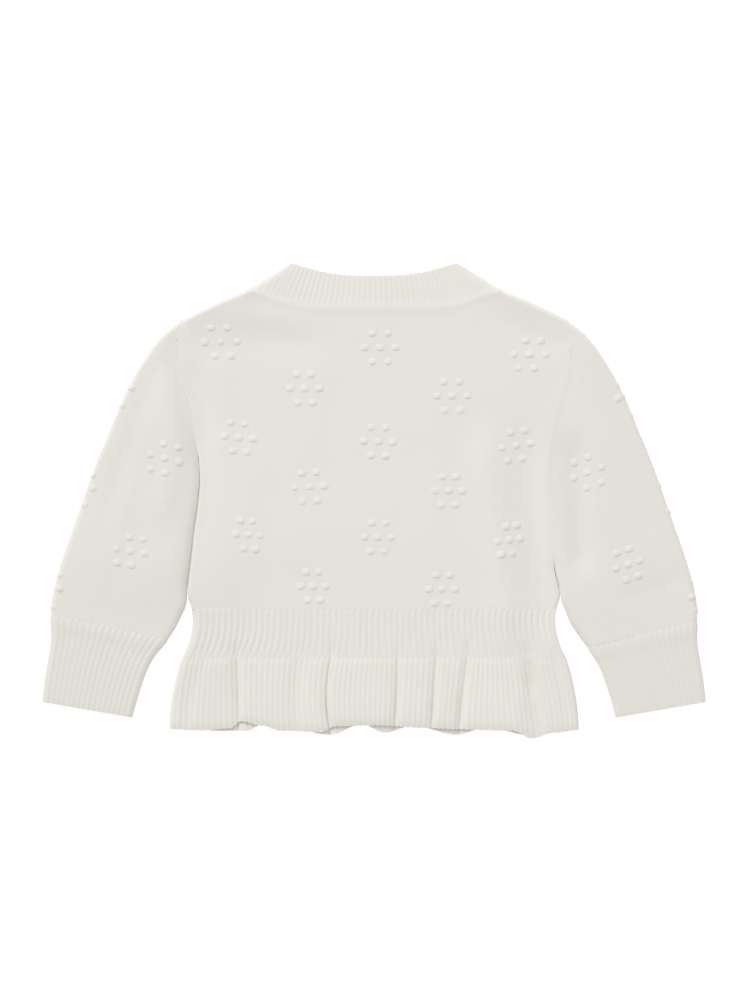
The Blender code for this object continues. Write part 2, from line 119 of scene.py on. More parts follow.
def curvesAt(tables, share):
    # several curves end to end, each smooth in itself
    share = np.clip(np.asarray(share, float), 0.0, 1.0)
    ends = np.cumsum([0.0] + [runOf(np.array(table, float))[-1] for table in tables])
    ends = ends / ends[-1]
    found = np.zeros(share.shape + (2,))
    for table, low, high in zip(tables, ends[:-1], ends[1:], strict=True):
        inside = (share >= low) & (share <= high)
        found[inside] = curveAt(table, (share[inside] - low) / (high - low))
    return found


def softStep(table, x):
    # through a table of (x, value) rows, with an S between each two
    points = np.array(table, float)
    place = np.interp(x, points[:, 0], np.arange(len(points)))
    k = np.clip(place.astype(int), 0, len(points) - 2)
    t = smooth(place - k)
    return points[k, 1] * (1 - t) + points[k + 1, 1] * t


def mirrored(table):
    return tuple((-x, y) for x, y in table)


def wholeCurve(table):
    # from the left end to the right end, from the table of the right half
    return mirrored(table) + tuple(reversed(table))[1:]


def coonsPatch(bottom, top, left, right, across, up):
    # the plan between four edges: both ruled surfaces less the one through the corners
    a, b = np.meshgrid(across, up)
    a, b = a[..., None], b[..., None]
    corners = (
        (1 - a) * (1 - b) * bottom(np.zeros(1))
        + a * (1 - b) * bottom(np.ones(1))
        + (1 - a) * b * top(np.zeros(1))
        + a * b * top(np.ones(1))
    )
    ruledUp = (1 - b) * bottom(across)[None] + b * top(across)[None]
    ruledAcross = (1 - a) * left(up)[:, None] + a * right(up)[:, None]
    return ruledUp + ruledAcross - corners


def edgeSpaced(count, width, edge=3.0, fine=5):
    # shares of a width: a few close steps over each folded edge, even ones between
    turn = np.linspace(0.0, np.pi / 2, fine + 1)
    near = edge * (1 - np.cos(turn)) / width
    between = np.linspace(near[-1], 1 - near[-1], count)[1:-1]
    return np.concatenate((near, between, (1 - near)[::-1]))


def fromColumn(plan, column):
    # how far each point lies in plan from one column of its row
    return np.linalg.norm(plan - plan[:, column : column + 1 or None], axis=-1)


def fromCurve(points, line):
    # the least distance in plan from each point to a line of straight steps
    start, step = line[:-1], np.diff(line, axis=0)
    best = np.full(points.shape[:-1], 1e9)
    for place, leg in zip(start, step, strict=True):
        offset = points - place
        share = np.clip((offset * leg).sum(-1) / (leg**2).sum(), 0.0, 1.0)
        best = np.minimum(best, np.linalg.norm(offset - share[..., None] * leg, axis=-1))
    return best


def surfaceOf(plan, height):
    # points over a plan at their heights
    return np.concatenate((plan, height[..., None]), axis=-1)


def resampled(points, shares):
    # each row again, at shares of its own length
    made = []
    for row in points:
        run = runOf(row)
        made.append([np.interp(shares * run[-1], run, row[:, k]) for k in range(row.shape[1])])
    return np.array(made).transpose(0, 2, 1)


# ---- relief: listed creases and swells, and ribs ----


def creaseRelief(x, y, table):
    # each row is a curved trough or ridge: a bell across its line that fades at both ends
    relief = np.zeros_like(x)
    for x0, y0, bend, x1, y1, width, depth in table:
        length = np.hypot(x1 - x0, y1 - y0)
        ux, uy = (x1 - x0) / length, (y1 - y0) / length
        t = ((x - x0) * ux + (y - y0) * uy) / length
        off = (x - x0) * -uy + (y - y0) * ux - 4 * bend * t * (1 - t)
        ends = smooth(t / 0.3 + 0.5) * smooth((1 - t) / 0.3 + 0.5)
        relief = relief - depth * ends * bell(off, width)
    return relief


def swellRelief(x, y, table):
    # each row is a soft hill or dip, an elliptic bell turned by its angle, which reaches
    # further on one side of its middle than on the other
    relief = np.zeros_like(x)
    for cx, cy, rx, above, below, turn, rise in table:
        c, s = stepAt(turn)
        u, v = (x - cx) * c + (y - cy) * s, (y - cy) * c - (x - cx) * s
        relief = relief + rise * bell(u, rx) * bell(v, np.where(v > 0, above, below))
    return relief


def ribProfile(phase):
    # round ridges at whole phases, narrow grooves halfway: sqrt(cos^2 + 0.05) less its mean
    return np.sqrt(np.cos(np.pi * phase) ** 2 + 0.05) - 0.69


def normalsOf(points, ring=False):
    # the cross product of the grid's steps across and along
    if ring:
        across = np.roll(points, -1, axis=1) - np.roll(points, 1, axis=1)
    else:
        across = np.gradient(points, axis=1)
    normal = np.cross(across, np.gradient(points, axis=0))
    return normal / np.maximum(np.linalg.norm(normal, axis=-1, keepdims=True), 1e-9)


# depth and half width of the groove along each seam, a ridge where the depth is negative
seamGrooves = {"waist": (0.12, 2.0), "cuff": (0.15, 1.8), "neck": (-0.45, 3.5)}


def seamGroove(seam, distance):
    depth, width = seamGrooves[seam]
    return -depth * bell(distance, width)


# ---- from a middle surface to a closed wall of cloth ----


def rimTaper(distance, thickness):
    # half the wall, drawn in on a quarter round where the cloth ends
    return thickness / 2 * (0.75 + 0.25 * rounded(distance, cloth["rimRadius"]))


def stitchMap(wales, run):
    # where each point lies in the knit: wales across, and courses along the length run
    return np.stack((wales + 0 * run, run / cloth["course"]), axis=-1)


def addObject(name, data):
    made = bpy.data.objects.new(name, data)
    bpy.context.scene.collection.objects.link(made)
    return made


def addPiece(name, points, faces, knit, material):
    # a mesh in metres that carries its stitch map
    mesh = bpy.data.meshes.new(name)
    mesh.from_pydata((points * mm).tolist(), [], faces)
    mesh.shade_smooth()
    way = np.concatenate((knit, np.zeros((len(knit), 1))), axis=-1)
    knitWay = mesh.attributes.new("knitWay", "FLOAT_VECTOR", "POINT")
    knitWay.data.foreach_set("vector", way.ravel())
    mesh.materials.append(material)
    return addObject(name, mesh)


def buildShell(name, middle, half, knit, material, sewn=(), ring=False, turned=False):
    # both faces are the middle moved along its normal by half the thickness, joined by rims;
    # along the sewn edges the rim is sharp, so that the face's shading runs on to the seam
    rows, columns = middle.shape[:2]
    normal = normalsOf(middle, ring) * (-1 if turned else 1)
    out = normal * np.broadcast_to(half, (rows, columns))[..., None]
    points = np.concatenate((middle + out, middle - out)).reshape(-1, 3)
    number = np.arange(rows * columns).reshape(rows, columns)
    if ring:
        number = np.concatenate((number, number[:, :1]), axis=1)
    quads = np.stack((number[:-1, :-1], number[:-1, 1:], number[1:, 1:], number[1:, :-1]), -1)
    quads = quads.reshape(-1, 4)
    other = rows * columns
    faces = [quads, quads[:, ::-1] + other]
    edges = [number[0, ::-1], number[-1, :]]
    if not ring:
        edges += [number[:, 0], number[::-1, -1]]
    for edge in edges:
        faces.append(np.stack((edge[:-1], edge[1:], edge[1:] + other, edge[:-1] + other), -1))
    faces = np.concatenate(faces)
    if turned:
        faces = faces[:, ::-1]
    knit = knit.reshape(-1, 2)
    piece = addPiece(name, points, faces.tolist(), np.concatenate((knit, knit)), material)
    mesh = piece.data
    borders = {"low": number[0], "high": number[-1], "left": number[:, 0], "right": number[:, -1]}
    ends = np.empty(len(mesh.edges) * 2, int)
    mesh.edges.foreach_get("vertices", ends)
    sharp = np.zeros(len(mesh.edges), bool)
    for side in sewn:
        onSide = np.isin(ends % other, borders[side]).reshape(-1, 2)
        sharp |= onSide.all(axis=1)
    mesh.attributes.new("sharp_edge", "BOOLEAN", "EDGE").data.foreach_set("value", sharp)
    return piece


def displaced(points, relief, ring=False):
    # the surface moved out along its normal by the relief, but nowhere under the lowest middle
    moved = points + normalsOf(points, ring) * relief[..., None]
    moved[..., 2] = np.maximum(moved[..., 2], lowestMiddle)
    return moved


# ---- knit: stitches as bumps, and the colour of the yarn ----


def setSockets(node, values):
    for socket, value in values.items():
        node.inputs[socket].default_value = value


def knitMaterial(name, look):
    # a leg of stitch is a ridge along |2a - 1| = 0.5 in its wale a, cut by courses that run
    # as a V: h = (1 - (4|a - 0.5| - 1)^2) * (1 - cut + cut * cos 2pi(b - slope * |2a - 1|))
    material = bpy.data.materials.new(name)
    material.use_nodes = True
    nodes, links = material.node_tree.nodes, material.node_tree.links
    shader = nodes["Principled BSDF"]
    setSockets(shader, look["surface"])

    def math(kind, first, second=None):
        node = nodes.new("ShaderNodeMath")
        node.operation = kind
        for socket, value in zip(node.inputs, (first, second), strict=False):
            if isinstance(value, (int, float)):
                socket.default_value = value
            elif value is not None:
                links.new(value, socket)
        return node.outputs[0]

    way = nodes.new("ShaderNodeAttribute")
    way.attribute_name = "knitWay"
    parts = nodes.new("ShaderNodeSeparateXYZ")
    links.new(way.outputs["Vector"], parts.inputs[0])
    middle = math("ABSOLUTE", math("SUBTRACT", math("FRACT", parts.outputs["X"]), 0.5))
    offLeg = math("SUBTRACT", math("MULTIPLY", middle, 4.0), 1.0)
    leg = math("SUBTRACT", 1.0, math("MULTIPLY", offLeg, offLeg))
    course = math("ADD", parts.outputs["Y"], math("MULTIPLY", middle, -2.0 * look["slope"]))
    wave = math("COSINE", math("MULTIPLY", course, 2 * np.pi))
    cut = math("ADD", math("MULTIPLY", wave, look["courseCut"]), 1 - look["courseCut"])
    stitch = math("MULTIPLY", leg, cut)

    place = nodes.new("ShaderNodeTexCoord")
    fuzz = nodes.new("ShaderNodeTexNoise")
    setSockets(fuzz, {"Scale": look["fuzzScale"], "Detail": look["fuzzDetail"]})
    links.new(place.outputs["Object"], fuzz.inputs["Vector"])
    height = math("ADD", stitch, math("MULTIPLY", fuzz.outputs["Fac"], look["fuzz"]))
    bump = nodes.new("ShaderNodeBump")
    setSockets(bump, {"Strength": look["bump"], "Distance": look["stitchHeight"] * mm})
    links.new(height, bump.inputs["Height"])
    links.new(bump.outputs["Normal"], shader.inputs["Normal"])

    # the gaps between the stitches' legs take a darker colour than the yarn: painted shade in the
    # knit's hollows, on top of the stitch bump
    paintedShadeMix = nodes.new("ShaderNodeMix")
    paintedShadeMix.data_type = "RGBA"
    setSockets(paintedShadeMix, {"A": (*look["paintedGapShade"], 1.0), "B": (*look["yarn"], 1.0)})
    links.new(math("MINIMUM", math("ADD", stitch, look["evenness"]), 1.0), paintedShadeMix.inputs["Factor"])
    links.new(paintedShadeMix.outputs["Result"], shader.inputs["Base Color"])
    return material


plainLook = {
    "yarn": (0.780, 0.765, 0.714),
    # the darker colour painted into the gaps between the stitches, as painted shade
    "paintedGapShade": (0.742, 0.725, 0.672),
    "evenness": 0.35,
    "surface": {
        "Roughness": 0.9, "Sheen Weight": 0.15, "Sheen Roughness": 0.5, "Specular IOR Level": 0.25,
    },
    "slope": 0.45,
    "courseCut": 0.45,
    "bump": 0.30,
    "stitchHeight": 0.28,
    "fuzzScale": 2200.0,
    "fuzzDetail": 3.0,
    "fuzz": 0.30,
}
ribLook = {
    **plainLook,
    "yarn": (0.775, 0.756, 0.700),
    "paintedGapShade": (0.730, 0.710, 0.652),
    "evenness": 0.40,
    "bump": 0.32,
    "stitchHeight": 0.26,
}
knitLooks = {
    "plain": plainLook,
    # the sleeves' copy of the plain knit is a little darker and warmer: painted shade on the
    # sleeves, which are of the same yarn as the body
    "sleeve": {**plainLook, "yarn": (0.768, 0.750, 0.700), "paintedGapShade": (0.728, 0.708, 0.656)},
    "rib": ribLook,
    # the cuffs' copy of the rib knit is darker: painted shade on the cuffs, which are of the same
    # yarn as the other ribs
    "cuff": {**ribLook, "yarn": (0.752, 0.730, 0.677), "paintedGapShade": (0.706, 0.684, 0.630)},
}
knits = {kind: knitMaterial(kind + "Knit", look) for kind, look in knitLooks.items()}


def declare(piece, node, slot, **cut):
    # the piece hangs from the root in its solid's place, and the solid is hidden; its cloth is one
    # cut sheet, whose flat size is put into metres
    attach(piece, "root")
    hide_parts(node)
    flat = tuple(side * mm for side in cut.pop("flat"))


# ---- the outlines, as x, y on the right half, from the photo's edges and shading ----

shoulderLine = ((143.4, 134.7), (128.6, 142.2), (112.6, 149.6), (95.5, 156.8))
backNeckSeam = ((95.5, 156.8), (82, 153.4), (69, 148.4), (54, 145), (28, 144), (0, 143.8))
frontNeckSeam = ((95.5, 156.8), (90.6, 147), (83, 133), (70, 118.5), (46, 106.5), (0, 101.5))
backNeckEdge = ((61.4, 177.3), (50.6, 174), (38, 170.8), (22, 168.6), (0, 167.9))
frontNeckEdge = ((61.4, 177.3), (59.6, 167), (54, 153), (43, 140), (25, 130), (0, 126))

bodySides = {
    # the body's own edge, up its side seam and then up the armhole
    "left": (
        (
            (135.8, -81.8), (136.6, -78), (138.1, -74), (138.9, -67), (138.2, -59),
            (136.4, -46), (134.2, -26), (131.3, -3), (129.8, 12), (130.4, 29),
        ),
        (
            (130.4, 29), (133, 48.5), (136.9, 64.5), (142.7, 86), (147.2, 107),
            (147.4, 121), (143.4, 134.7),
        ),
    ),
    "right": (
        (
            (135.9, -81.8), (136.9, -78), (138.4, -74), (137.9, -65), (135.4, -55),
            (133.8, -36), (131.6, -10), (130.4, 12), (130.6, 30),
        ),
        (
            (130.6, 30), (134.2, 55), (142.2, 86), (146.9, 108), (147, 121),
            (143.4, 134.7),
        ),
    ),
}
sleeveInner = {
    # the sleeve's edge beside the body, from the underarm down to the cuff seam
    "left": (
        (131.8, 29), (131.3, 12), (132.8, -3), (135.8, -26), (138, -46),
        (139.8, -60), (140.7, -68), (141.2, -77), (142.4, -81), (145.2, -87),
        (148, -93), (154.8, -104),
    ),
    "right": (
        (130.7, 30), (130.5, 12), (131.7, -10), (133.9, -36), (136, -52),
        (139.6, -66), (141.4, -76), (144.2, -83), (146.9, -90), (152.4, -99),
        (160.9, -110.3),
    ),
}
sleeveOuter = (
    (143.2, 134.8), (158.3, 122.5), (171.8, 104.5), (186.6, 77.5), (197.8, 51),
    (209, 24), (218.5, -3), (228, -30), (236.6, -57), (240.8, -76),
)
cuffInner = ((181.9, -162.8), (178.3, -150), (175.2, -140), (171.7, -130), (167.5, -121))
cuffOuter = ((248, -151.3), (246.2, -136), (243.6, -120), (241.5, -106))
cuffSeams = {
    "left": ((154.8, -104.0), (241.6, -85.5)),
    "right": ((160.9, -110.3), (241.4, -90.5)),
}
waistSide = ((135.8, -81.8), (135.0, -90), (136.6, -102), (140.6, -113), (142.4, -117))
ruffleSide = ((142.4, -117), (145.6, -126), (148.6, -138), (150.8, -150), (152.8, -171))

topFold = np.concatenate((curveAt(shoulderLine, np.linspace(0, 1, 25)), backNeckEdge[:1]))


def fromTopFold(plan):
    # how far points lie from the line on which shoulder and neckband fold
    return fromCurve(np.abs(plan) * (1, 0) + plan * (0, 1), topFold)


# ---- how body and sleeves sink towards the line between them ----

sharpOnRight = ((-82, 0.9), (-64, 0.8), (-50, 0.15), (-34, 0.0), (134, 0.0))
meeting = {
    # against y: the height of the cloth's middle on that line; then for body and sleeve the
    # widths of the sharp and the soft fall, and how much of the fall is sharp
    "left": {
        "level": (
            (-82, 2.8), (-70, 2.8), (-40, 3.4), (-10, 4), (10, 4), (34, 4), (48, 4.9),
            (64, 5.3), (84, 5.2), (104, 5.3), (134, 6),
        ),
        "body": (1.0, 14.0, ((-82, 0.9), (36, 0.9), (52, 0.3), (66, 0.0), (134, 0.0))),
        "sleeve": (7.0, 20.0, ((-82, 0.6), (-40, 0.35), (44, 0.3), (60, 0.1), (134, 0.0))),
    },
    "right": {
        "level": (
            (-82, 2.8), (-66, 2.7), (-54, 3.6), (-40, 4.7), (-10, 5), (30, 5.2), (70, 5),
            (100, 4.6), (134, 3.9),
        ),
        "body": (4.5, 13.0, sharpOnRight),
        "sleeve": (5.0, 10.0, sharpOnRight),
    },
}


def sunkAtMeeting(height, distance, y, side, part):
    # the cloth falls to the meeting line in a sharp and a soft parabola, by their shares
    way = meeting[side]
    sharpWidth, softWidth, shares = way[part]
    sharp = softStep(shares, y)
    near = (1 - distance / sharpWidth).clip(0) ** 2
    wide = (1 - distance / softWidth).clip(0) ** 2
    fall = sharp * near + (1 - sharp) * wide
    return height - (height - softStep(way["level"], y)) * fall


waveLengths = (34.0, 47.0, 61.0, 83.0, 110.0)


def softWaves(x, y, size, seed):
    # a few long sine waves in random directions, for cloth that never lies quite flat; a
    # wave's height goes with its length, and is the size at 60 mm
    dice = np.random.default_rng(seed)
    total = np.zeros_like(x)
    for length in waveLengths:
        turn, start = dice.uniform(0, np.pi), dice.uniform(0, 2 * np.pi)
        wave = np.sin(2 * np.pi * (x * np.cos(turn) + y * np.sin(turn)) / length + start)
        total = total + size * wave * length / 60
    return total


# ---- how the upper cloth lies: long soft folds, hills and hollows that cross the seams ----

longFolds = (
    # x, y, bow, x, y, width, depth: troughs, or ridges where the depth is negative
    (82, 46, 0, 101, -98, 12, -2.5),
    (112, 44, 0, 128, -98, 12, 2.2),
    (134, 66, 0, 134, -52, 9, -0.9),
    (-118, 104, 0, -112, 34, 10, -0.9),
    (-110, 140, 0, -50, 134, 9, -0.7),
    (-132, 112, 4, -30, 119, 15, 0.5),
    (84, 138, 0, 142, 114, 9, 0.6),
)
softHills = (
    # x, y, half width across, above and below, turn, rise
    (-138, -50, 42, 95, 58, 0, 3.6),
    (-60, 116, 44, 12, 12, -6, -0.5),
    (20, 60, 60, 50, 50, 20, 0.5),
    (-40, -20, 45, 40, 40, -20, 0.5),
    (40, -30, 30, 40, 40, 0, 0.5),
    (110, 84, 22, 30, 30, 0, 1),
    (-132, -46, 40, 70, 38, 0, 1.2),
)
shoulderHills = ((-122, 146, 40, 30, 30, 28, 1.8),)  # across the armhole seam
unevenness = {"body": 0.07, "sleeve": 0.12}


def landscape(x, y):
    # what the folds, hills and a little unevenness add to the height of the upper layer
    hills = swellRelief(x, y, softHills + shoulderHills)
    return creaseRelief(x, y, longFolds) + hills + softWaves(x, y, unevenness["body"], 4)


# the dip of the body beside the left sleeve: how far off it is deepest, and against y how deep
dipReach = 7
dipDepth = ((-82, 0.5), (-40, 0.7), (20, 0.8), (60, 1.9), (84, 1.6), (108, 0.0), (134, 0.0))


def besideSleeve(distance, y):
    # steep from the edge, deepest at the reach and slowly up again: d/reach * exp(1 - d/reach)
    return -softStep(dipDepth, y) * distance / dipReach * np.exp(1 - distance / dipReach)


# ---- back and front ----

bothEnds = ("low", "high")
allSides = ("low", "high", "left", "right")
bodyShape = {
    "backGrid": (196, 158),
    "frontGrid": (120, 96),
    "crown": 1.3,
    "crownHalfWidth": 137,
    "shoulderRise": 1.5,
    "shoulderReach": 20,
    "backFoldWidth": 2.4,
    "frontFoldWidth": 3.0,
}


def armholeLap(name, share):
    # outwards where body and sleeve are sewn or lie flush, nothing along a fold
    points = curvesAt(bodySides[name], share)
    start = 30 if name == "left" else -50
    sewn = smooth((points[..., 1] - start) / 8) * smooth((134 - points[..., 1]) / 12)
    return points + (lap * sewn)[..., None] * (1.0, 0.0)


def bodyPlan(neckSeam, columns, rows):
    # between the waist seam, both sides and the line over shoulders and neck
    top = (mirrored(shoulderLine), wholeCurve(neckSeam), tuple(reversed(shoulderLine)))
    low = ((-bodySides["left"][0][0][0], waistSeamY), (bodySides["right"][0][0][0], waistSeamY))
    return coonsPatch(
        along(low),
        lambda share: curvesAt(top, share),
        lambda share: armholeLap("left", share) * (-1, 1),
        lambda share: armholeLap("right", share),
        edgeSpaced(columns, 272, edge=5.0, fine=7),
        np.concatenate(([0, 0.002], np.linspace(0.005, 0.994, rows), [0.997, 1])),
    )


def crown(x, y):
    # the body's fullness over its middle, 1 - (x / half width)^4, which the neckband takes on
    across = (1 - np.abs(x / bodyShape["crownHalfWidth"]) ** 4).clip(0)
    return bodyShape["crown"] * across * smooth((y + 82) / 60)


def shoulderRoll(belowFold):
    # the cloth rises towards the fold over the shoulders in a parabola
    return bodyShape["shoulderRise"] * (1 - belowFold / bodyShape["shoulderReach"]).clip(0) ** 2


print("back panel")
plan = bodyPlan(backNeckSeam, *bodyShape["backGrid"])
x, y = plan[..., 0], plan[..., 1]
left, right, belowFold = fromColumn(plan, 0), fromColumn(plan, -1), fromTopFold(plan)
belowNeck = fromCurve(plan, curveAt(wholeCurve(backNeckSeam), np.linspace(0, 1, 60)))
height = upperHeight + crown(x, y) + landscape(x, y)
height = height + shoulderRoll(belowFold) * smooth((np.abs(x) - 60) / 30)
height = height + besideSleeve(left, y)
height = sunkAtMeeting(height, left, y, "left", "body")
height = sunkAtMeeting(height, right, y, "right", "body")
height = fromFold(height, rounded(belowFold, bodyShape["backFoldWidth"]), foldGap)
height = height + seamGroove("waist", y - waistSeamY) + seamGroove("neck", belowNeck)
backGrid = surfaceOf(plan, height)
knit = stitchMap(x / cloth["wale"], y)
backPanel = buildShell("backPanel", backGrid, cloth["plain"] / 2, knit, knits["plain"], allSides)

print("front panel")
plan = bodyPlan(frontNeckSeam, *bodyShape["frontGrid"])
x, y = plan[..., 0], plan[..., 1]
beside = np.minimum(fromColumn(plan, 0), fromColumn(plan, -1))
onSide = 1 - smooth((y - 30) / 20)  # below the underarm its sides come up to the back's
full = 1 - onSide * (1 - rounded(beside, bodyShape["frontFoldWidth"]))
full = full * rounded(fromTopFold(plan), bodyShape["frontFoldWidth"])
middle = surfaceOf(plan, fromFold(lowerHeight, full, -foldGap))
knit = stitchMap(x / cloth["wale"], y)
frontPanel = buildShell("frontPanel", middle, cloth["plain"] / 2, knit, knits["plain"], allSides)

# ---- sleeves and cuffs: tubes that lie folded flat ----


def ringOf(upper, lower, count):
    # two layers that share both edges, as a closed ring of even steps round each row
    loop = np.concatenate((upper, lower[:, -2:0:-1], upper[:, :1]), axis=1)
    return resampled(loop, np.arange(count) / count)


sleeveShape = {
    "columns": 152,  # round the whole tube, from those of the upper layer
    "layerColumns": 90,
    "rows": 134,
    "wales": 144,
    "foldWidth": 3.8,
    "besideBody": 0.8,  # how far off the body the sleeve's edge lies
    "cuffReach": 60,
    "freeFoldWidth": 6.0,
}

sleeveSections = {
    # across the upper layer, from beside the body to the outer fold: share, height
    "left": ((0, 8.9), (0.25, 7.9), (0.6, 6.5), (0.85, 5.4), (1, 4.8)),
    "right": ((0, 5.7), (0.3, 5.6), (0.6, 6.4), (0.85, 5.4), (1, 4.8)),
}
sleeveCreases = {
    "left": (
        (-176, 60, 6, -214, -50, 14, -0.5),
        (-153, 96, 3, -158, -10, 10, -1.3),
        (-166, 100, 3, -200, -10, 9, 0.5),
    ),
    "right": (
        (149, 42, 2, 155, -52, 9.5, 2.5),
        (166, 50, -3, 172, -60, 12, -0.4),
        (186, -74, 0, 232, -58, 9, 0.5),
    ),
}
sleeveHills = {"left": ((-151, 68, 34, 9, 26, -78, 1.3),), "right": ()}
capWidths = {"left": 20.0, "right": 35.0}  # the parabola in which a sleeve comes up from its cap


def sleevePlan(name, columns, rows):
    # from the cuff seam up to the cap, between the edge beside the body and the outer fold
    inner = tuple(reversed(sleeveInner[name]))
    outer = (cuffSeams[name][1],) + tuple(reversed(sleeveOuter))
    armhole = bodySides[name][1]
    apart = sleeveInner[name][0][0] - armhole[0][0]

    def cap(share):
        away = apart * (1 - smooth(share / 0.3))
        return curveAt(armhole, share) + away[..., None] * (1.0, 0.0)

    return coonsPatch(
        along(cuffSeams[name], (0, -lap)),
        cap,
        along(inner),
        along(outer),
        edgeSpaced(columns, 95, edge=6.0, fine=8),
        np.concatenate(([0, 0.004], np.linspace(0.01, 0.99, rows), [0.996, 1])),
    )


def foldedTube(plan, height, width, count):
    # a ring of the upper layer at its height and the lower one flat, which meet at both edges
    atOuter = rounded(fromColumn(plan, -1), width)
    atBoth = rounded(fromColumn(plan, 0), width) * atOuter
    upper = surfaceOf(plan, fromFold(height, atOuter))
    return ringOf(upper, surfaceOf(plan, fromFold(lowerHeight, atBoth)), count)


def sleeve(name, side):
    # the tube, with its upper layer full in the middle and sunk beside the body
    plan = sleevePlan(name, sleeveShape["layerColumns"], sleeveShape["rows"])
    x, y = plan[..., 0] * side, plan[..., 1]
    inner, outer = fromColumn(plan, 0), fromColumn(plan, -1)
    fromCap = np.linalg.norm(plan - plan[-1:], axis=-1)
    fromCuff = np.linalg.norm(plan - plan[:1], axis=-1)
    away = 1 - (1 - fromCap / capWidths[name]).clip(0) ** 2
    away = away * smooth(fromCuff / sleeveShape["cuffReach"])
    across = inner / (inner + outer)
    height = upperHeight + (softStep(sleeveSections[name], across) - upperHeight) * away
    height = height + creaseRelief(x, y, sleeveCreases[name])
    height = height + swellRelief(x, y, shoulderHills + sleeveHills[name])
    waves = softWaves(x, y, unevenness["sleeve"], 11 + side)
    height = height + waves * 4 * across * (1 - across)
    meetLine = curvesAt(bodySides[name], np.linspace(0, 1, 70))
    distance = np.maximum(fromCurve(plan, meetLine) - sleeveShape["besideBody"], 0)
    height = sunkAtMeeting(height, distance, y, name, "sleeve")
    free = 1 - smooth((y + 84) / 16)  # below the body the inner edge is a fold of its own
    height = fromFold(height, 1 - free * (1 - rounded(inner, sleeveShape["freeFoldWidth"])))
    height = height + seamGroove("cuff", fromCuff)
    ring = foldedTube(plan, height, sleeveShape["foldWidth"], sleeveShape["columns"])
    wale = np.arange(ring.shape[1]) / ring.shape[1] * sleeveShape["wales"]
    return ring * (side, 1, 1), cloth["plain"] / 2, stitchMap(wale, runOf(ring))


cuffShape = {
    "ribs": 36,
    "perRib": 8,  # columns of the grid
    "rows": 40,
    "amplitude": 0.31,
    "foldWidth": 3.4,
    "height": 4.3,
    "puff": (0.4, 6, 5),  # its height, how far below the seam, and half width
}
ribHead = {"height": 0.20, "below": 2.0, "width": 1.4}


def ribUnevenness(phase, seed, size):
    # a slow seeded change from rib to rib, about 1
    dice = np.random.default_rng(seed)
    ribs = int(phase.max()) + 2
    return 1 + size * np.interp(phase, np.arange(ribs), dice.normal(0, 1, ribs).clip(-2, 2))


def ribHeads(distance, phase):
    # the ribs' first stitches stand up as a row of points below a seam; 0.32 is a ridge's top
    onRidge = np.maximum(ribProfile(phase), 0) / 0.32
    return ribHead["height"] * bell(distance - ribHead["below"], ribHead["width"]) * onRidge


def cuff(name, side):
    # a ribbed tube from its open end up to its seam, fullest a little below the seam
    inner = cuffInner + (cuffSeams[name][0],)
    outer = cuffOuter + (cuffSeams[name][1],)
    plan = coonsPatch(
        along((inner[0], outer[0])),
        along((inner[-1], outer[-1])),
        along(inner),
        along(outer),
        edgeSpaced(60, 72, edge=cuffShape["foldWidth"], fine=6),
        np.linspace(0, 1, cuffShape["rows"]) ** 0.94,
    )
    height = fromFold(cuffShape["height"], rounded(fromColumn(plan, 0), cuffShape["foldWidth"]))
    columns = cuffShape["ribs"] * cuffShape["perRib"]
    ring = foldedTube(plan, height, cuffShape["foldWidth"], columns)
    phase = np.arange(columns) / cuffShape["perRib"] + 0 * ring[..., 0]
    run = runOf(ring)
    down = run[-1:] - run
    amplitude = cuffShape["amplitude"] * ribUnevenness(phase, 21 + side, 0.12)
    relief = amplitude * ribProfile(phase) * smooth(down / 2.5 + 0.25)
    relief = relief + ribHeads(down, phase) + seamGroove("cuff", down)
    puff, puffAt, puffWidth = cuffShape["puff"]
    relief = relief + puff * bell(down - puffAt, puffWidth)
    ring = displaced(ring, relief, ring=True)
    knit = stitchMap(phase * cloth["walesInRib"], run)
    return ring * (side, 1, 1), rimTaper(run, cloth["rib"]), knit


def tube(name, made, material, turned=False):
    return buildShell(name, *made, knits[material], bothEnds, True, turned)


sleeveGrids, sleeves, cuffs = {}, {}, {}
for name, side in (("left", -1), ("right", 1)):
    print("sleeve and cuff", name)
    made = sleeve(name, side)
    sleeveGrids[name] = made[0]
    sleeves[name] = tube("sleeve_" + name + "_knit", made, "sleeve", side < 0)
    cuffs[name] = tube("cuff_" + name + "_knit", cuff(name, side), "cuff", side < 0)

# ---- the lobes and folds of the ruffle ----

ruffleShape = {
    "pitch": 4.0,
    "upperGrid": (8, 38),  # columns a rib, and rows
    "lowerGrid": (6, 24),
    "rowsAtSeam": 0.16,  # the share of the height that takes a quarter of the rows
    "amplitude": 0.42,
    "seamValley": 3.3,  # heights of the valleys at the seam, below it and at the hem
    "valley": 2.9,
    "hemValley": 3.6,
    "hemDrop": 0.8,
    "start": 0.8,  # how far below the seam the lobes start
    "rise": 6.0,  # over how far they come out first, and by how much
    "firstRise": 0.6,
    "lobeReach": 48,  # how far below the seam they are at their crests
    "coreShare": 0.62,  # of a valley's depth, in its narrow bell
    "edgeWidth": 4.5,
    "hemGap": 1.9,  # between the middles of both layers at the hem
    "hemWave": (0.45, 3),  # the ribs' ends stand out at the hem: how far, and half width
    "edgeSpread": 9,
    "leaning": 50,  # how far below the seam it still lies as the body does
}
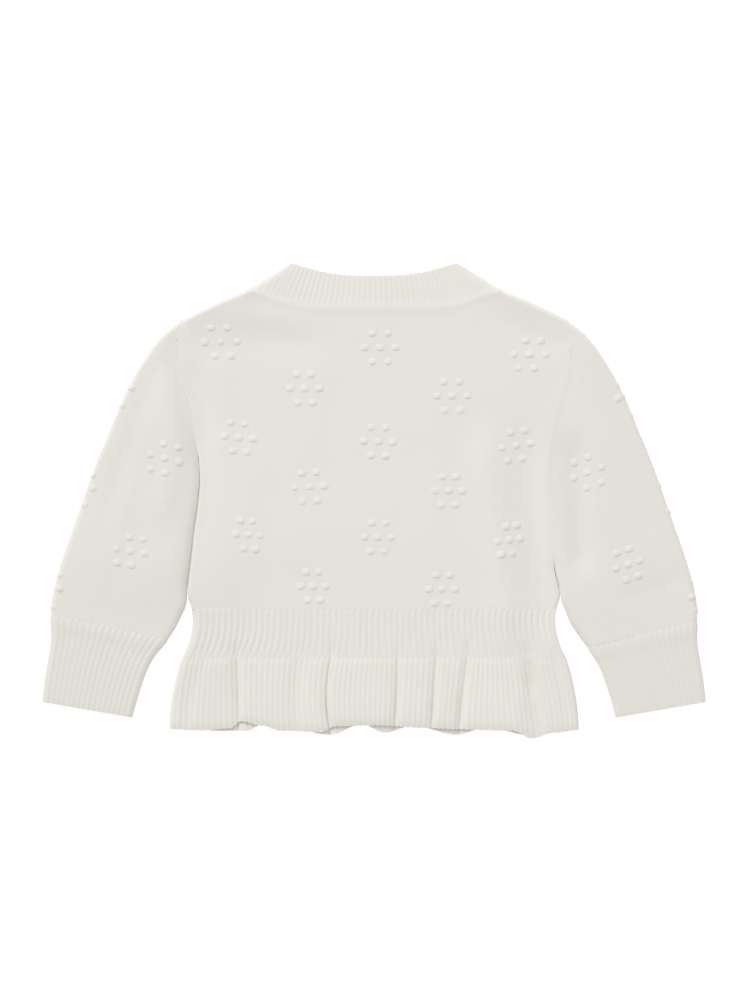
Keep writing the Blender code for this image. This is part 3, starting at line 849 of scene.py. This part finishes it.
# height of the lobes at the hem, against x
lobeCrests = (
    (-152, 4.7), (-125, 5), (-108, 5), (-97, 7.2), (-60, 6.5), (-30, 7.2), (17, 7), (47, 7),
    (70, 7.2), (106, 8), (122, 5.8), (152, 4.9),
)
pockets = (
    # hollows, as softHills has them
    (117, -137, 5, 11, 11, 8, -1.7),
    (-59, -136, 5, 13, 13, 0, -0.7),
    (-140, -150, 4, 16, 16, 12, -0.6),
)
folds = (
    # x at the seam, halfway and at the hem, half widths of the core left and right of it,
    # depth as a share
    (-126, -136, -143, 5, 5, 0.30),
    (-102.8, -102, -101.6, 3, 1.1, 1.00),
    (-55, -57, -58, 6, 4.5, 0.42),
    (-31.8, -35.6, -33.2, 1.4, 1.2, 0.74),
    (17.6, 17, 15.4, 1.7, 1.7, 0.78),
    (46.9, 44.8, 43.2, 2.2, 1.5, 0.88),
    (70.4, 66.6, 64, 3, 1.5, 0.90),
    (115, 120.5, 125.5, 5.5, 4, 1.00),
    (135, 140.5, 147.5, 3, 3, 0.35),
)
backHem = (
    (-153, -171.5), (-130, -172.5), (-108, -171), (-99, -165.6), (-84, -168.8), (-70, -172.6),
    (-40, -173.6), (-28, -169.2), (0, -168.6), (40, -170.6), (61, -171.6), (104, -172.6),
    (118, -178.4), (135, -174.2), (153, -172.2),
)
frontHem = (
    (-153, -170.5), (-112, -173), (-95, -172.8), (-84, -168), (-60, -171.5), (-33, -175.8),
    (-9, -167.8), (8, -174.2), (29, -169), (62, -175.8), (84, -170), (116, -176), (153, -171),
)
seamY = ruffleSide[0][1]


def through(seam, halfway, hem, down):
    # the parabola through three values, at the seam, halfway down and at the hem
    return (
        seam * (1 - down) * (1 - 2 * down)
        + halfway * 4 * down * (1 - down)
        + hem * down * (2 * down - 1)
    )


def foldShare(x, down):
    # 1 on a lobe, less in each valley: a narrow bell in a wide one takes away its depth, and
    # each bell has one width on its left and another on its right
    coreShare = ruffleShape["coreShare"]
    share = np.ones_like(x)
    for seam, halfway, hem, leftWidth, rightWidth, depth in folds:
        off = x - through(seam, halfway, hem, down)
        core = bell(off, np.where(off < 0, leftWidth, rightWidth))
        skirt = bell(off, np.where(off < 0, 2.4 * leftWidth + 2.0, 1.5 * rightWidth + 1.5))
        share = share * (1 - depth * (coreShare * core + (1 - coreShare) * skirt))
    return share


def lobeHeight(x, y, down):
    # the upper layer: lobes that swell out below the seam, valleys between, a lower hem
    shape = ruffleShape
    below = seamY - shape["start"] - y
    grown = smooth(below / shape["rise"])
    top = upperHeight + shape["firstRise"] * grown
    top = top + (softStep(lobeCrests, x) - top) * smooth(below / shape["lobeReach"])
    top = top - shape["hemDrop"] * smooth((down - 0.86) / 0.14) ** 2
    valley = shape["seamValley"] + (shape["valley"] - shape["seamValley"]) * grown
    valley = valley + (shape["hemValley"] - shape["valley"]) * smooth((down - 0.6) / 0.4)
    height = valley + (top - valley) * foldShare(x, down)
    return height + swellRelief(x, y, pockets) * grown, grown


# ---- waist rib ----

waistShape = {
    "ribs": 59,
    "upperGrid": (8, 26),  # columns a rib, and rows
    "lowerGrid": (6, 14),
    "amplitude": 0.44,
    "lowerShare": 0.6,  # of the relief, on the lower layer
    "foldWidths": (4.0, 3.0),
    "stronger": (0.25, -112, 20),  # how much more the ribs stand up, at which x, half width
    "strongerRight": (0.5, 20, 90),  # how much more, from which x on, over which length
    "drawWidth": 9,
}
# how much the ribs are drawn together above each of the ruffle's folds
drawnTogether = (0.10, 0.42, 0.15, 0.35, 0.35, 0.38, 0.35, 0.30, 0.10)


def ribStrength(x):
    # 1 and a bell above the left lobe, and an S that rises towards the right
    more, at, width = waistShape["stronger"]
    moreRight, start, length = waistShape["strongerRight"]
    return 1 + more * bell(x - at, width) + moreRight * smooth((x - start) / length)


def waistRib(upper):
    # a strip that widens downwards; each column of the grid follows one rib
    perRib, rows = waistShape["upperGrid" if upper else "lowerGrid"]
    ribs = waistShape["ribs"]
    share = np.linspace(0, 1, ribs * perRib + 1)
    up = np.linspace(0, 1, rows)
    edge = curveAt(waistSide, 1 - up)
    x = edge[:, :1] * (2 * share - 1)
    y = edge[:, 1:] + 0 * x + lap * up[:, None] ** 8
    phase = share * ribs + 0 * x
    down = (waistSeamY - y).clip(0)
    if upper:
        nearFold = smooth((down - 17) / 18)
        for row, pull in zip(folds, drawnTogether, strict=True):
            off = x - row[0]
            x = x - pull * nearFold * off * bell(off, waistShape["drawWidth"])
    plan = np.stack((x, y), axis=-1)
    beside = np.minimum(fromColumn(plan, 0), fromColumn(plan, -1))
    upperFold, lowerFold = waistShape["foldWidths"]
    if upper:
        atSeam = lobeHeight(x, seamY + 0 * y, 0.0)[0] - upperHeight
        lie = landscape(x, y) + atSeam * smooth((down - 20) / 15)
        height = fromFold(upperHeight + lie, rounded(beside, upperFold), foldGap)
    else:
        height = fromFold(lowerHeight, rounded(beside, lowerFold), -foldGap)
    middle = surfaceOf(plan, height)
    amplitude = waistShape["amplitude"] * ribStrength(x) * ribUnevenness(phase, 31, 0.13)
    toSeam = (y - seamY).clip(0)
    relief = amplitude * ribProfile(phase) * smooth(down / 3) * smooth(toSeam / 3.5)
    relief = relief + ribHeads(down, phase) + seamGroove("waist", down)
    middle = displaced(middle, relief if upper else relief * waistShape["lowerShare"])
    return middle, cloth["rib"] / 2, stitchMap(phase * cloth["walesInRib"], -down)


print("waist rib")
waists = {}
for layer in ("back", "front"):
    made = waistRib(layer == "back")
    waists[layer] = buildShell("waist_" + layer + "_rib", *made, knits["rib"], allSides)

# ---- ruffle ----


def ruffleSection(x, down, upper):
    # along one row: the points' y, a share of the way down to the hem, and their heights
    shape = ruffleShape
    hem = softStep(backHem if upper else frontHem, x)
    y = seamY + lap + (hem - seamY - lap) * down
    beside = curveAt(ruffleSide, np.array([down]))[0, 0] - np.abs(x)
    if upper:
        height, grown = lobeHeight(x, y, down)
        height = height + landscape(x, y) * (1 - smooth((seamY - y) / shape["leaning"]))
        edge = np.clip(3 + 5 * grown, 3.0, shape["edgeWidth"])
        return y, fromFold(height, rounded(beside, edge), foldGap)
    # the lower layer comes up to the upper one at the hem
    under = (lobeHeight(x, hem, 1.0)[0] - shape["hemGap"] - lowerHeight).clip(0)
    under = under * smooth((down - 0.25) / 0.7) * smooth(beside / shape["edgeSpread"])
    return y, fromFold(lowerHeight + under, rounded(beside, 3.0), -foldGap)


def ruffle(upper):
    # rows from the hem up; between two deep valleys each row has the same ribs, evenly
    perRib, rows = ruffleShape["upperGrid" if upper else "lowerGrid"]
    atSeam = ruffleShape["rowsAtSeam"]
    below = np.linspace(atSeam, 1, rows - rows // 4 + 1)[1:]
    down = np.concatenate((np.linspace(0, atSeam, rows // 4), below))
    dense = np.linspace(-1, 1, 1801)  # each row is measured at so many places
    deep = [row for row in folds if row[5] > 0.5]
    points, counts = [], None
    for share in [0.5] + list(down[::-1]):  # the first one, halfway down, counts the ribs
        sideX = curveAt(ruffleSide, np.array([share]))[0, 0]
        x = sideX * dense
        y, z = ruffleSection(x, share, upper)
        run = runOf(np.stack((x, y, z), axis=-1))
        stops = [-sideX] + [through(*row[:3], share) for row in deep] + [sideX]
        stops = np.interp(stops, x, run)
        if counts is None:
            counts = np.round(np.diff(stops) / ruffleShape["pitch"]).astype(int)
            continue
        spans = zip(stops[:-1], stops[1:], counts, strict=True)
        at = [np.linspace(start, end, n * perRib + 1)[:-1] for start, end, n in spans]
        at = np.concatenate(at + [run[-1:]])
        points.append(np.stack([np.interp(at, run, line) for line in (x, y, z)], axis=-1))
    middle = np.array(points)
    phase = np.arange(middle.shape[1]) / perRib + 0.5 + 0 * middle[..., 0]
    below = (seamY - middle[..., 1]).clip(0)
    fromHem = runOf(middle)
    amplitude = ruffleShape["amplitude"] * ribUnevenness(phase, 41, 0.14)
    relief = amplitude * ribProfile(phase) * smooth(below / 3.5)
    middle = displaced(middle, relief)
    waveOut, waveWidth = ruffleShape["hemWave"]
    middle[..., 1] -= waveOut * ribProfile(phase) * bell(fromHem, waveWidth)
    print("ruffle", "back" if upper else "front", "ribs", counts.tolist())
    knit = stitchMap(phase * cloth["walesInRib"], fromHem)
    return middle, rimTaper(fromHem, cloth["rib"]), knit


ruffles = {}
for layer in ("back", "front"):
    made = ruffle(layer == "back")
    ruffles[layer] = buildShell("ruffle_" + layer + "_rib", *made, knits["rib"], bothEnds)

# ---- neckband ----

bandShape = {
    "halfRibs": 49,
    "perRib": 8,
    "rows": 22,
    "height": 24,
    "amplitude": 0.36,
    "foldWidth": 5.0,
    "fall": 2.0,  # from the seam to the edge of the neck
    "flatter": (0.5, -72, 16),  # how much the ribs flatten, at which x, and half width
    "evening": 24,  # the ribs' spacing is a mean over so many columns on both sides
}

# where the ribs run: distances from the middle of the back, along the seam and along the
# edge of the neck, at which so many ribs have passed
ribsAtSeam = ((0.0, 0.0), (35.0, 8.2), (70.5, 16.6), (100.0, 23.4))
ribsAtEdge = ((0.0, 0.0), (31.0, 8.2), (58.8, 16.6), (62.6, 17.7))

# the band folds over a straight line at the right end of the neck
foldStart = np.array(backNeckSeam[0])
foldWay = np.array(backNeckEdge[0]) - foldStart
foldWay = foldWay / np.linalg.norm(foldWay)


def unfolded(line):
    # the line's reflection in that fold
    offset = line - foldStart
    return foldStart + 2 * (offset @ foldWay)[..., None] * foldWay - offset


def bandChain(back, front, ribs):
    # half the ring from the back's middle over the fold to the front's, laid open, at ribs
    even, halfRibs = np.linspace(0, 1, 200), bandShape["halfRibs"]
    behind, before = curveAt(tuple(reversed(back)), even), unfolded(curveAt(front, even))
    line = np.concatenate((behind, before[1:]))
    run = runOf(line)
    table = np.array(ribs + ((run[-1], halfRibs),))
    phase = np.linspace(0, halfRibs, halfRibs * bandShape["perRib"] + 1)
    at = np.interp(phase, table[:, 1], table[:, 0])
    reach = bandShape["evening"]
    padded = np.pad(at, reach, mode="reflect", reflect_type="odd")
    evened = np.convolve(padded, np.ones(2 * reach + 1) / (2 * reach + 1), "valid")
    return np.stack([np.interp(evened, run, line[:, k]) for k in (0, 1)], axis=-1), phase


print("neckband")
seamLine, phase = bandChain(backNeckSeam, frontNeckSeam, ribsAtSeam)
edgeLine = bandChain(backNeckEdge, frontNeckEdge, ribsAtEdge)[0]
up = np.linspace(0, 1, bandShape["rows"])[:, None, None]
seamLine = seamLine + (seamLine - edgeLine) * lap / bandShape["height"]
flatBand = seamLine * (1 - up) + edgeLine * up
signed = (flatBand - foldStart) @ np.array((-foldWay[1], foldWay[0]))
behind = signed > 0
folded = np.where(behind[..., None], flatBand, unfolded(flatBand))
full = rounded(np.abs(signed), bandShape["foldWidth"])
x, y = folded[..., 0], folded[..., 1]
height = upperHeight + crown(x, y) + landscape(x, y) - bandShape["fall"] * up[..., 0] ** 1.3
height = np.where(behind, height, lowerHeight)
rightHalf = surfaceOf(folded, fromFold(height, full))
ring = np.concatenate((rightHalf[:, :-1], (rightHalf * (-1, 1, 1))[:, :0:-1]), axis=1)
phase = np.concatenate((phase[:-1], 2 * bandShape["halfRibs"] - phase[:0:-1])) + 0 * ring[..., 0]
fromSeam = runOf(ring)
toEdge = fromSeam[-1:] - fromSeam
amplitude = bandShape["amplitude"] * ribUnevenness(phase, 51, 0.12)
flatter, flatterAt, flatterWidth = bandShape["flatter"]
amplitude = amplitude * (1 - flatter * bell(ring[..., 0] - flatterAt, flatterWidth))
relief = amplitude * ribProfile(phase) * smooth((fromSeam - 1.5) / 3)
relief = relief + seamGroove("neck", fromSeam)
ring = displaced(ring, relief, ring=True)
made = ring, rimTaper(toEdge, cloth["rib"]), stitchMap(phase * cloth["walesInRib"], fromSeam)
neckband = tube("neckbandRib", made, "rib")

# ---- bobbles: small knitted balls in sevens, in rows of two, three and two ----

bobble = {
    "radii": (3.5, 2.9, 0.77),
    "rowsApart": 10.6,
    "boxy": 0.75,  # 1 is an ellipse in plan, less goes towards a box
    "lean": 0.25,  # the top is shifted towards the hem
    "foot": 0.75,  # from the cloth's middle to its face, where the bobble starts
    "rings": (0.22, 0.45, 0.66, 0.84, 0.97),
    "spokes": 14,
    "stitches": (2.2, 2.4),  # wales and courses from its middle to its edge
    "reach": 9,  # it follows the cloth's grid within this distance,
    "softness": 0.8,  # whose points are weighed by a bell of this half width
    "lowest": 0.1,
}
backMotifs = (
    # x, y, apart in a row, turn of the rows and lean of the middle line in degrees
    (-114.6, 118.4, 12.2, 1, 8), (4.5, 114.1, 11.7, 0, 0), (116.5, 108.9, 11.8, 0, -14),
    (-51.9, 83.4, 10.9, 0, 3), (58.3, 77.8, 11.4, 0, 2), (-101.2, 46.8, 10.6, -6, 5),
    (3.1, 43.7, 10.9, -2, 0), (106.5, 40.8, 11, 9, -5), (-48.4, 9.8, 10.9, 3, 2),
    (55.9, 6.9, 10.3, 0, -2), (-94.4, -26.1, 9.1, -3, 6), (2.9, -27.8, 10.2, 0, -3),
    (101, -29.9, 8.4, 8, -9), (-45.6, -64.5, 9.4, 0, 3), (50.8, -66.8, 9.9, 0, -4),
)
sleeveMotifs = {
    "left": ((-156.6, 31.1, 11.1, -15, -27), (-182.3, -38.3, 10.6, -9, -25)),
    "right": ((159.8, 20.5, 11.1, 21, 27), (189.8, -48.2, 9.4, 19, 20)),
}
# single bobbles of the motifs that go over the outer fold
outerBobbles = {
    "left": (
        (-181.4, 84.1), (-188.5, 71), (-210.2, 18.5), (-210.4, 8.8), (-217, -3.4),
        (-235.2, -56), (-235.6, -66.2), (-240.6, -80),
    ),
    "right": (
        (182, 86.1), (182.6, 75.9), (187.2, 77), (192.8, 65), (214, 11.2),
        (220.6, -8.4), (238.4, -61.5), (237.8, -72.6), (241.6, -82.4),
    ),
}


def motifPlaces(motifs):
    # rows of two, three and two: along a row and up the middle line, each by its own angle
    found = []
    for x, y, apart, turn, lean in motifs:
        way, up = stepAt(turn), stepAt(lean + 90) * bobble["rowsApart"]
        for row, places in ((1, (-0.5, 0.5)), (0, (-1, 0, 1)), (-1, (-0.5, 0.5))):
            found += [(np.array((x, y)) + way * apart * k + up * row, way) for k in places]
    return found


def onCloth(grid, targets, closed=False):
    # each bobble's middle: the nearest point of the upper layer, moved to its place in plan
    normals = normalsOf(grid, closed)
    lower = grid[..., 2] < foldHeight - foldGap
    places = []
    for target, way in targets:
        gap = ((grid[..., :2] - target) ** 2).sum(-1) + 1e6 * lower
        at = np.unravel_index(gap.argmin(), gap.shape)
        place, normal = grid[at], normals[at]
        normal = normal * np.sign(normal[2] + 0.05)
        across = np.array((*way, 0.0))
        across = across - normal * (across @ normal)
        across = across / np.linalg.norm(across)
        if normal[2] > 0.4:
            rise = -(normal[:2] * (target - place[:2])).sum() / normal[2]
            place = np.array((*target, place[2] + rise))
        places.append((place, np.array((across, np.cross(normal, across)))))
    return places


def ontoCloth(points, grid, normals):
    # points moved straight onto the cloth, and its normal there: both from the nearest grid
    # points, weighed by exp(-(gap / softness)^2)
    near = np.linalg.norm(grid - points.mean(axis=0), axis=-1) < bobble["reach"]
    gap = ((points[:, None] - grid[near][None]) ** 2).sum(-1)
    weight = np.exp(-(gap - gap.min(axis=1, keepdims=True)) / bobble["softness"] ** 2)
    weight = weight / weight.sum(axis=1, keepdims=True)
    foot, normal = weight @ grid[near], weight @ normals[near]
    normal = normal / np.linalg.norm(normal, axis=1, keepdims=True)
    return points - ((points - foot) * normal).sum(axis=1, keepdims=True) * normal, normal


def buildBobbles(name, grid, targets, knitKind, closed=False, turned=False):
    # one bell, (1 - r^2)^1.4 high with a flat underside in the cloth, wrapped onto the cloth
    # at each place, uneven
    normals = normalsOf(grid, closed) * (-1 if turned else 1)
    places = onCloth(grid, targets, closed)
    dice = np.random.default_rng(61 + len(places))
    radius = np.array(bobble["rings"] + (1.0, 0.7))
    level = np.array([(1 - r * r) ** 1.4 for r in bobble["rings"]] + [-0.12, -0.6])
    rings, spokes = len(radius), bobble["spokes"]
    turn = 2 * np.pi * np.arange(spokes) / spokes
    plan = np.stack((np.cos(turn), np.sin(turn)), axis=-1)
    plan = np.sign(plan) * np.abs(plan) ** bobble["boxy"]
    dome = surfaceOf(radius[:, None, None] * plan, level[:, None] + 0 * plan[None, :, 0])
    dome[..., 1] -= bobble["lean"] * dome[..., 2].clip(0)
    ball = np.concatenate((dome.reshape(-1, 3), [[0, -bobble["lean"], 1], [0, 0, -0.6]]))
    ring = np.arange(spokes)
    after = np.roll(ring, -1)
    faces = []
    for low in range(0, (rings - 1) * spokes, spokes):
        high = low + spokes
        faces += np.stack((low + ring, high + ring, high + after, low + after), -1).tolist()
    top, last = 0 * ring + rings * spokes, (rings - 1) * spokes
    faces += np.stack((top, ring, after), -1).tolist()
    faces += np.stack((top + 1, last + after, last + ring), -1).tolist()
    points, allFaces = [], []
    for place, axes in places:
        radii = np.array(bobble["radii"]) * dice.uniform(0.93, 1.07, 3)
        out = bobble["foot"] + dice.uniform(-0.08, 0.08) + ball[:, 2:] * radii[2]
        foot, normal = ontoCloth(place + (ball[:, :2] * radii[:2]) @ axes, grid, normals)
        moved = foot + normal * out
        moved[:, 2] = np.maximum(moved[:, 2], bobble["lowest"])
        allFaces += [[v + len(points) * len(ball) for v in face] for face in faces]
        points.append(moved)
    knit = np.tile(ball[:, (1, 0)] * bobble["stitches"] + 0.5, (len(points), 1))
    return addPiece(name, np.concatenate(points), allFaces, knit, knits[knitKind])


print("bobbles")
bobbles = {"back": buildBobbles("bobbles_back", backGrid, motifPlaces(backMotifs), "plain")}
for name, turn in (("left", -20), ("right", 20)):
    single = [(np.array(place), stepAt(turn)) for place in outerBobbles[name]]
    targets = motifPlaces(sleeveMotifs[name]) + single
    bobbles[name] = buildBobbles(
        "bobbles_sleeve_" + name, sleeveGrids[name], targets, "sleeve", True, name == "left"
    )

# ---- what each piece stands for, and the cut of its cloth in millimetres ----

declare(
    backPanel, "back_panel", "plain_knit", flat=(294, 239), held="laid", area=0.0640,
    rests_on=["front_panel"], with_pieces=[bobbles["back"]],
)
declare(frontPanel, "front_panel", "plain_knit", flat=(294, 239), held="laid", area=0.0575)
declare(neckband, "neckband", "rib_knit", flat=(430, 26), held="folded", rests_on=["back_panel"])
for layer in ("back", "front"):
    declare(waists[layer], "waist_rib_" + layer, "rib_knit", flat=(300, 36), held="laid")
    declare(ruffles[layer], "ruffle_" + layer, "rib_knit", flat=(380, 56), held="gathered")
for name in ("left", "right"):
    declare(
        sleeves[name], "sleeve_" + name, "plain_knit", flat=(212, 238), held="folded", area=0.0335,
        with_pieces=[bobbles[name]],
    )
    declare(cuffs[name], "cuff_" + name, "rib_knit", flat=(160, 68), held="folded")
for piece in bobbles.values():
    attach(piece, "root")

# ---- the white surface, the light and the camera ----

print("stage")
studio = {
    "floorReach": 6.0,
    "floorHeight": -0.0003,
    "floor": {
        "Base Color": (0.25, 0.25, 0.25, 1.0),
        "Roughness": 0.9,
        "Specular IOR Level": 0.0,
        "Emission Color": (1.0, 1.0, 1.0, 1.0),
        "Emission Strength": 0.82,
    },
    "room": {"Color": (1.0, 1.0, 1.0, 1.0), "Strength": 0.765},
    "sunEnergy": 1.51,
    "sunAngle": 35,
    "sunTurn": (-57, 0, 25),
    "lens": 144.0,
    "sensor": 36.0,
    "cameraPlace": (0.00075, 0.0, 3.0),  # over the middle of the picture
}
floorMesh = bpy.data.meshes.new("surface")
corners = np.array(((-1, -1), (1, -1), (1, 1), (-1, 1))) * studio["floorReach"]
corners = surfaceOf(corners, np.full(4, studio["floorHeight"]))
floorMesh.from_pydata(corners.tolist(), [], [(0, 1, 2, 3)])
floorWhite = bpy.data.materials.new("surfaceWhite")
floorWhite.use_nodes = True
setSockets(floorWhite.node_tree.nodes["Principled BSDF"], studio["floor"])
floorMesh.materials.append(floorWhite)
floor = addObject("surface", floorMesh)

scene = bpy.context.scene
world = bpy.data.worlds.new("softRoom")
world.use_nodes = True
setSockets(world.node_tree.nodes["Background"], studio["room"])
scene.world = world

keyLight = bpy.data.lights.new("fromTheNeckSide", "SUN")
keyLight.energy = studio["sunEnergy"]
keyLight.angle = np.radians(studio["sunAngle"])
addObject("fromTheNeckSide", keyLight).rotation_euler = np.radians(studio["sunTurn"])

camera = bpy.data.cameras.new("above")
camera.type = "PERSP"
camera.lens = studio["lens"]
camera.sensor_width = studio["sensor"]
camera.clip_start, camera.clip_end = 0.05, 30.0
scene.camera = addObject("above", camera)
scene.camera.location = studio["cameraPlace"]

scene.view_settings.view_transform = "Standard"
scene.view_settings.look = "None"
scene.view_settings.exposure = 0.0
